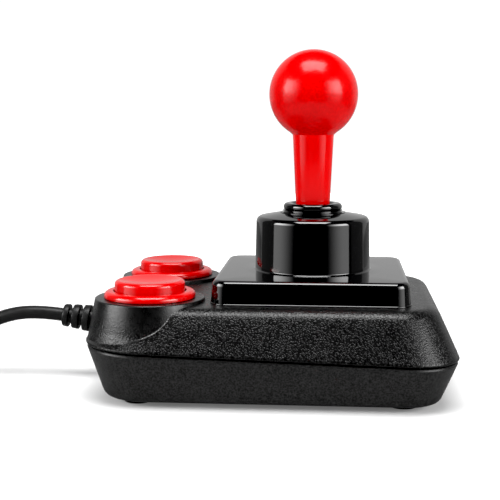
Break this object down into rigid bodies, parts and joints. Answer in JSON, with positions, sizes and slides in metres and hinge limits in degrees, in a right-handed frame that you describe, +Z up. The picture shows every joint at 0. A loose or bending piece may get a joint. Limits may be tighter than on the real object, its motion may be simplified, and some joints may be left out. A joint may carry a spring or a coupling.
{
  "type": "joystick controller",
  "caption": "Desktop joystick controller: textured two-shell case, ball-top stick on a round turret over a square plate, round fire buttons on conical lobes, and a corded plug.",
  "frame": {"origin": "centre of the case in plan, on the plane that the feet stand on", "axes": "+X runs from the fire buttons towards the stick, +Y away from the player's near long side, +Z up"},
  "size_m": [0.2798, 0.1314, 0.1332],
  "materials": {
    "grain_black": "leather grain",
    "satin_black": "satin",
    "gloss_black": "gloss",
    "red": "gloss",
    "steel": "bright",
    "white_plastic": "moulded",
    "black_plastic": "moulded",
    "green_board": "solder mask",
    "black_rubber": "matt"
  },
  "bodies": {
    "case": {"upper_shell": "grain_black", "lower_shell": "satin_black", "feet": "black_rubber", "stick_turret": "gloss_black", "dust_ring": "gloss_black", "clamp_ring": "black_plastic", "switch_frame": "black_plastic", "switch_right": "black_plastic", "switch_back": "black_plastic", "switch_left": "black_plastic", "switch_front": "black_plastic", "lever_right": "steel", "lever_back": "steel", "lever_left": "steel", "lever_front": "steel", "button_collar_near": "red", "button_nut_near": "black_plastic", "button_switch_near": "black_plastic", "button_lever_near": "steel", "button_collar_far": "red", "button_nut_far": "black_plastic", "button_switch_far": "black_plastic", "button_lever_far": "steel", "circuit_board": "green_board", "board_chip": "black_plastic", "board_header": "white_plastic", "case_screws": "steel", "turret_screws": "steel", "board_screws": "steel", "strain_relief": "black_rubber", "cord_lead": "black_rubber", "cord_coil": "black_rubber", "cord_tail": "black_rubber", "cord_tie": "black_plastic", "plug_grip": "black_plastic", "plug_shell": "steel", "plug_insulator": "white_plastic"},
    "centering": {"centering_rubber": "black_rubber"},
    "stick": {"ball_handle": "red", "steel_shaft": "steel", "actuator": "white_plastic", "e_clip": "steel"},
    "button_near": {"button_cap_near": "red"},
    "button_far": {"button_cap_far": "red"}
  },
  "joints": [
    {"name": "stick_tilt_side", "type": "hinge", "parent": "case", "child": "centering", "pos_m": [0.015, 0, 0.06985], "axis": [1, 0, 0], "range_deg": [-9, 9], "stiffness_Nm_per_rad": 1.2, "deforming": ["centering_rubber", "lever_right", "lever_back", "lever_left", "lever_front"]},
    {"name": "stick_tilt_along", "type": "hinge", "parent": "centering", "child": "stick", "pos_m": [0.015, 0, 0.06985], "axis": [0, 1, 0], "range_deg": [-9, 9], "stiffness_Nm_per_rad": 1.2, "deforming": ["centering_rubber", "lever_right", "lever_back", "lever_left", "lever_front"]},
    {"name": "press_near", "type": "slide", "parent": "case", "child": "button_near", "axis": [0, 0, -1], "range_m": [0, 0.0025], "stiffness_N_per_m": 400, "springref_m": -0.004, "deforming": ["button_lever_near"]},
    {"name": "press_far", "type": "slide", "parent": "case", "child": "button_far", "axis": [0, 0, -1], "range_m": [0, 0.0025], "stiffness_N_per_m": 400, "springref_m": -0.004, "deforming": ["button_lever_far"]}
  ]
}
